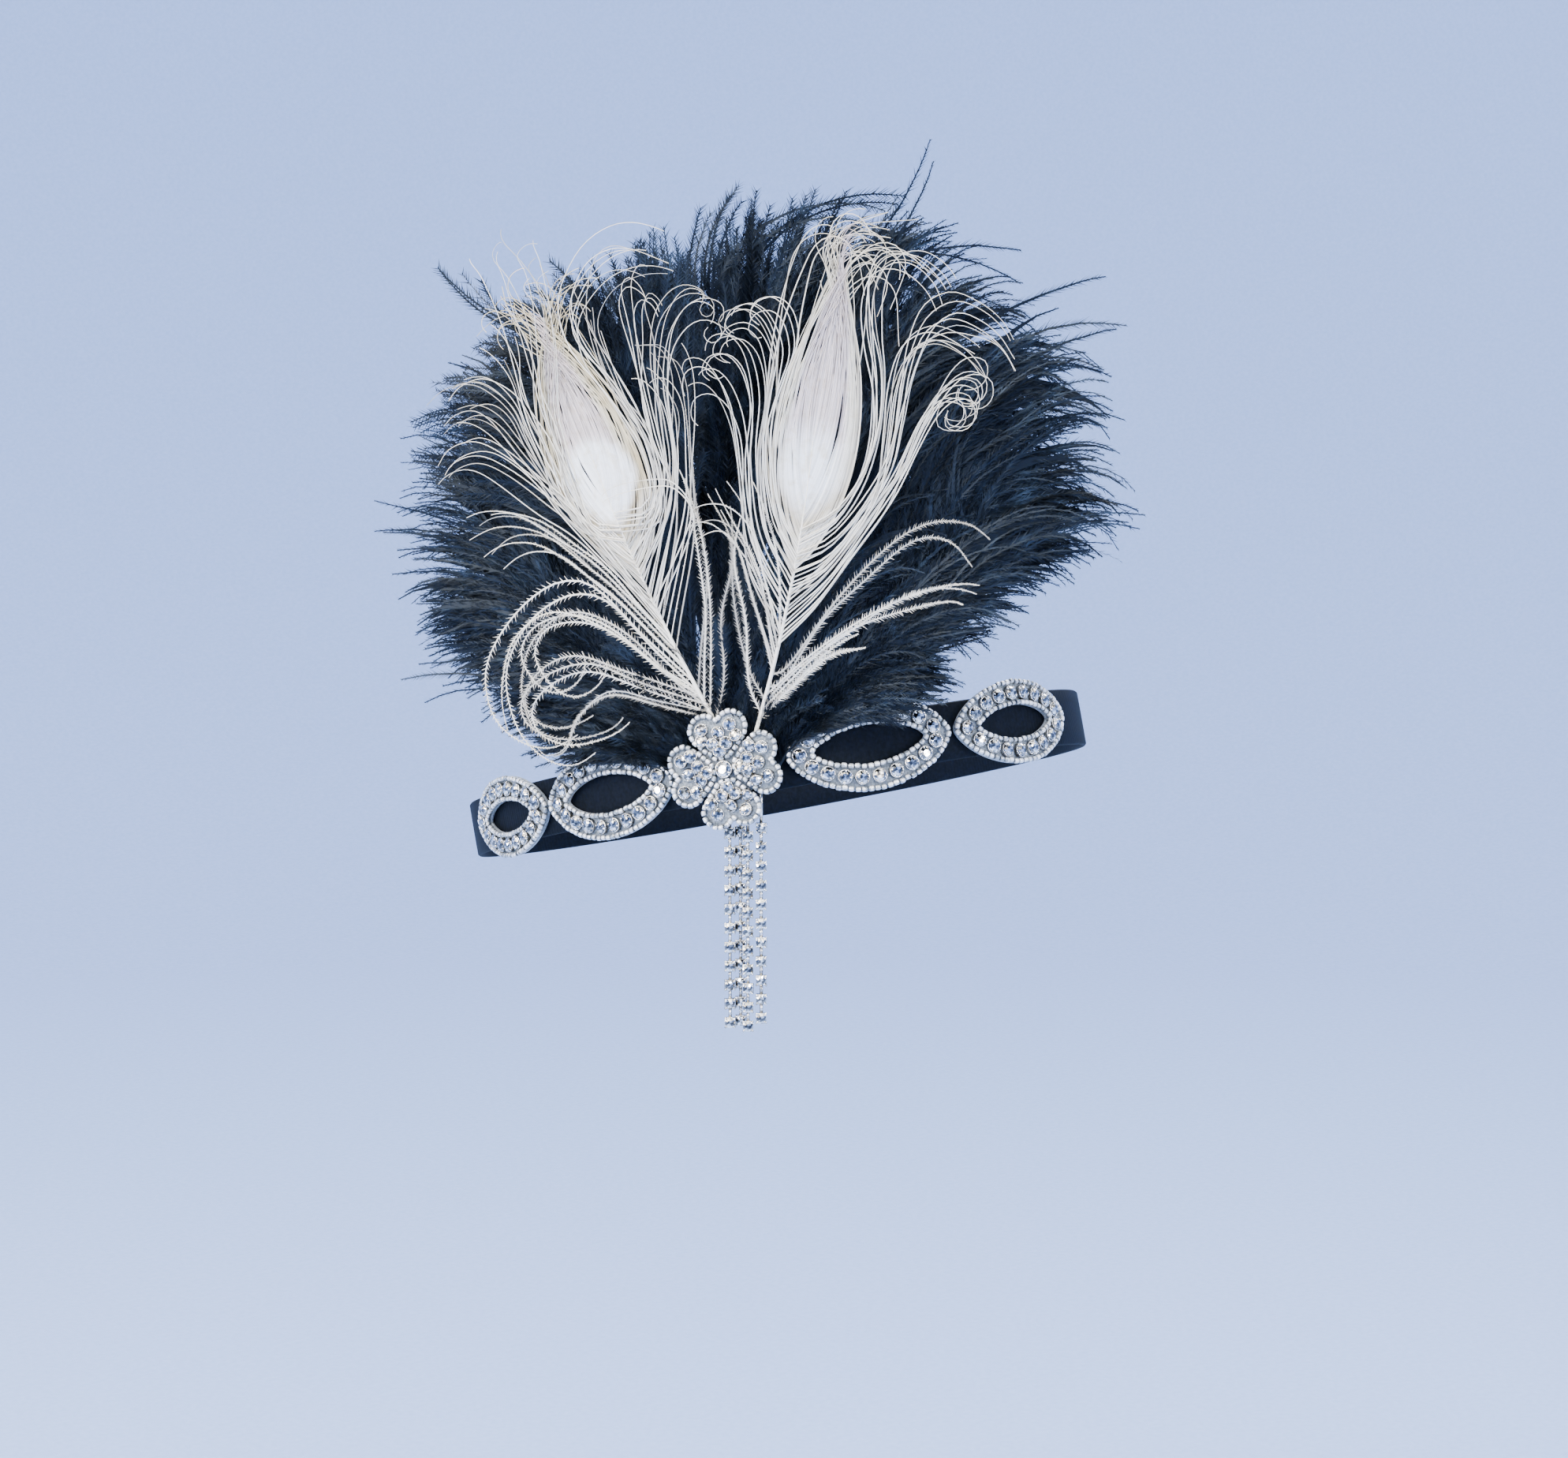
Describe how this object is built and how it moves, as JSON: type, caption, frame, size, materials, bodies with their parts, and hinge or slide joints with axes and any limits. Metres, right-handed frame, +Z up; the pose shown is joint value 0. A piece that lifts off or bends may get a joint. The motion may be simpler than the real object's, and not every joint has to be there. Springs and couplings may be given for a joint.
{
  "type": "flapper feather headband",
  "caption": "Elastic headband in 1920s style: rhinestone leaf trim, a flower brooch at one temple with hanging stone chains, and a fan of black ostrich plumes and pale peacock eyes.",
  "frame": {"origin": "middle of the band's loop, where the head goes in", "axes": "+Z up as worn, the wearer's face looks along -Y, the wearer's right is -X; the loop is pitched 15 degrees about X, forehead up, and the brooch is over the wearer's right temple"},
  "size_m": [0.1884, 0.2322, 0.2254],
  "materials": {
    "elastic": "ribbed black elastic with a slight satin sheen",
    "rhinestone": "clear foiled rhinestones in silver cups, edged with clear silver-lined seed beads on a pale backing",
    "silver": "bright silver-plated cup chain with clear stones",
    "ostrich": "matt dyed black ostrich feather with a slate-blue sheen",
    "peacock": "bleached ivory peacock feather, white in the eye"
  },
  "bodies": {
    "root": {"band": "elastic", "near_leaf_left": "rhinestone", "far_leaf_left": "rhinestone", "near_leaf_right": "rhinestone", "far_leaf_right": "rhinestone", "brooch": "rhinestone", "chain_1": "silver", "chain_2": "silver", "chain_3": "silver", "chain_4": "silver", "plume_low_left": "ostrich", "plume_left": "ostrich", "plume_high_left": "ostrich", "plume_top": "ostrich", "plume_high_right": "ostrich", "plume_right": "ostrich", "plume_low_right": "ostrich", "peacock_left": "peacock", "peacock_right": "peacock"}
  },
  "joints": []
}
